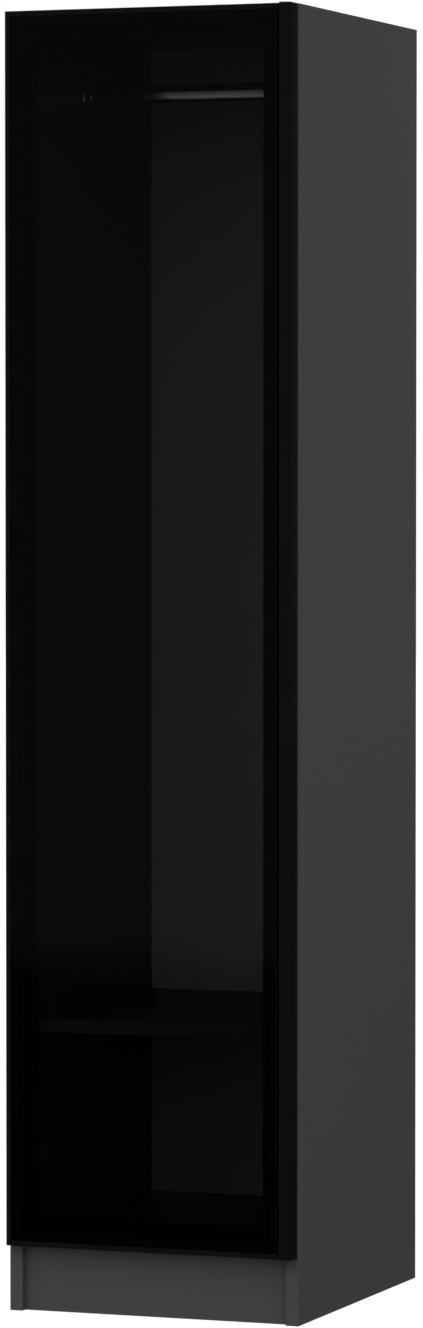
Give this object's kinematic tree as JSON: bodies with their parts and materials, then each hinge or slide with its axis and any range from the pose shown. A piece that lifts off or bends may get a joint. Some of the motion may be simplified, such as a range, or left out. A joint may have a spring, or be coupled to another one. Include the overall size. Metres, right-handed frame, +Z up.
{
  "type": "single-door wardrobe",
  "caption": "Tall narrow wardrobe with a smoked-glass door in a slim dark frame, full-height handle, low shelf and hanging rail.",
  "frame": {"origin": "on the floor, at the centre of the overall width and of the overall depth, door handle included", "axes": "+X to the wardrobe's right as seen from the front, +Y to its back, +Z up"},
  "size_m": [0.5, 0.621, 2.11],
  "materials": {
    "board": "matt anthracite melamine",
    "back_board": "matt light grey laminate",
    "frame": "dark anodised, satin",
    "handle": "dark anodised, satin",
    "glass": "dark smoked, polished",
    "tape": "black foam tape",
    "rail": "polished",
    "fitting": "polished nickel",
    "steel": "zinc plated",
    "black_steel": "blackened",
    "zinc": "die-cast, satin",
    "nylon": "natural",
    "black_plastic": "fine texture",
    "silicone": "translucent",
    "beech": "plain beech"
  },
  "bodies": {
    "carcass": {"left_side_panel": "board", "right_side_panel": "board", "top_panel": "board", "bottom_panel": "board", "plinth_panel": "board", "rear_plinth_rail": "board", "back_panel": "back_board", "lower_shelf": "board", "shelf_pins": "steel", "hanging_rail": "rail", "rail_bracket_left": "fitting", "rail_bracket_right": "fitting", "rail_bracket_screws": "black_steel", "cam_locks": "zinc", "cam_bolts": "steel", "dowels": "beech", "back_panel_screws": "black_steel", "wall_bracket": "steel", "wall_bracket_screws": "steel", "magnetic_catch": "black_plastic", "catch_screws": "black_steel", "hinge_arms": "fitting", "hinge_arm_screws": "black_steel"},
    "door": {"hinge_stile": "frame", "handle_stile": "frame", "door_top_rail": "frame", "door_bottom_rail": "frame", "corner_cleats": "zinc", "cleat_screws": "black_steel", "glass_pane": "glass", "glazing_tape": "tape", "handle_profile": "handle", "handle_end_caps": "black_plastic", "stile_end_plugs": "black_plastic", "hinge_housings": "zinc", "housing_screws": "black_steel", "hinge_pins": "steel", "hinge_washers": "nylon", "strike_plate": "steel", "door_bumpers": "silicone"}
  },
  "joints": [
    {"name": "door_swing", "type": "hinge", "parent": "carcass", "child": "door", "pos_m": [-0.2432, -0.2839, 1.11], "axis": [0, 0, -1], "range_deg": [0, 100]}
  ]
}
